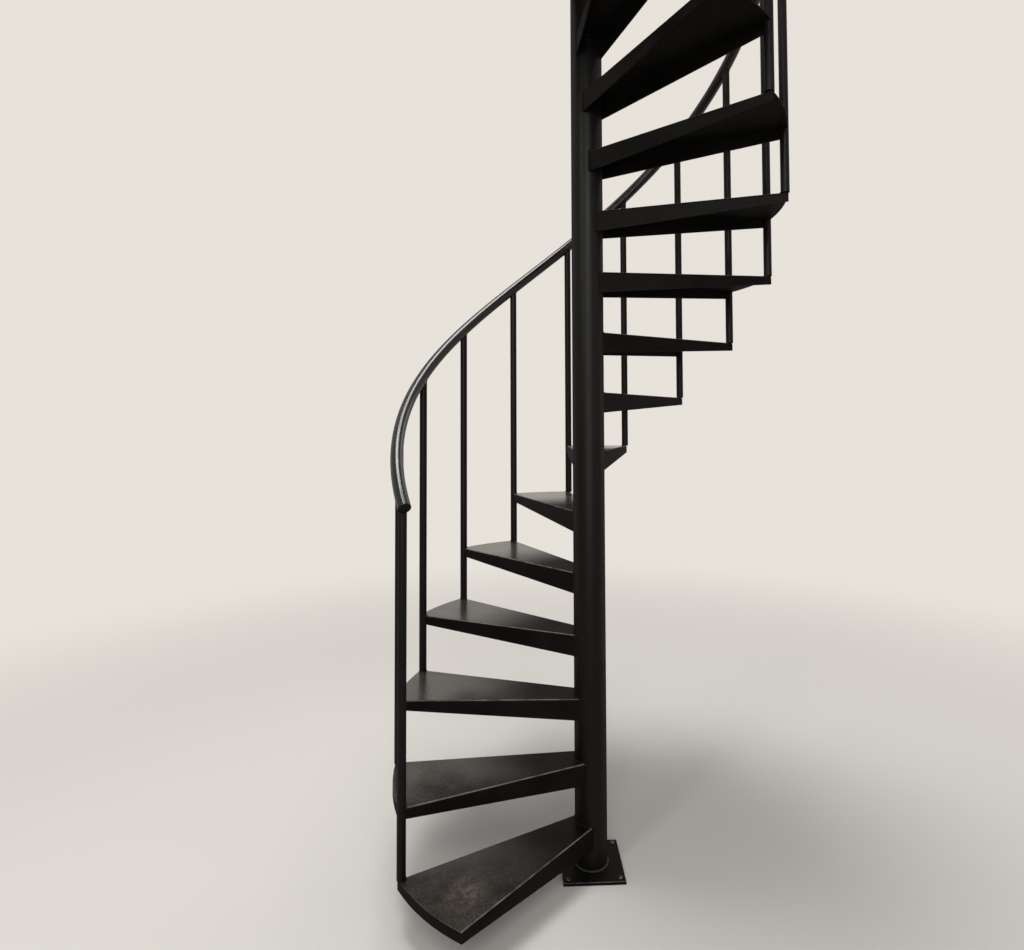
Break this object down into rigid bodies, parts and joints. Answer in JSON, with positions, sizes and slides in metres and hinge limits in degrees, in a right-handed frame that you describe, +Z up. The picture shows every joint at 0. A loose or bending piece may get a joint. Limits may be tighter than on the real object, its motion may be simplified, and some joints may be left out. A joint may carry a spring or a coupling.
{
  "type": "spiral staircase",
  "caption": "Black steel spiral staircase: folded pan treads on a round centre column, slim posts and a helical tube handrail leading to a small guarded landing.",
  "frame": {"origin": "centre of the base plate's underside, on the column's axis, at the level of the lower floor", "axes": "+Z up along the column; the base plate's sides lie along X and Y; the landing leads away towards -X, and the stair turns clockwise going up, seen from above"},
  "size_m": [1.24, 1.2401, 3.8101],
  "materials": {
    "column_paint": "satin black paint",
    "tread_paint": "semi-gloss black paint, dusty and worn on top",
    "post_paint": "satin black paint",
    "rail_paint": "satin black paint, worn towards bronze",
    "plate_paint": "satin black paint"
  },
  "bodies": {
    "root": {"base_plate": "plate_paint", "column": "column_paint", "column_cap": "column_paint", "tread_01": "tread_paint", "tread_02": "tread_paint", "tread_03": "tread_paint", "tread_04": "tread_paint", "tread_05": "tread_paint", "tread_06": "tread_paint", "tread_07": "tread_paint", "tread_08": "tread_paint", "tread_09": "tread_paint", "tread_10": "tread_paint", "tread_11": "tread_paint", "tread_12": "tread_paint", "tread_13": "tread_paint", "tread_14": "tread_paint", "post_01": "post_paint", "post_02": "post_paint", "post_03": "post_paint", "post_04": "post_paint", "post_05": "post_paint", "post_06": "post_paint", "post_07": "post_paint", "post_08": "post_paint", "post_09": "post_paint", "post_10": "post_paint", "post_11": "post_paint", "post_12": "post_paint", "post_13": "post_paint", "post_14": "post_paint", "handrail": "rail_paint", "handrail_end_cap": "rail_paint", "landing_deck": "tread_paint", "landing_nosing_bar": "plate_paint", "landing_side_bar": "plate_paint", "landing_end_bar": "plate_paint", "landing_outer_bar": "plate_paint", "floor_fixing_plate": "plate_paint", "landing_front_posts": "post_paint", "landing_side_posts": "post_paint", "landing_front_rail": "rail_paint", "landing_side_rail": "rail_paint", "landing_rail_caps": "rail_paint"}
  },
  "joints": []
}
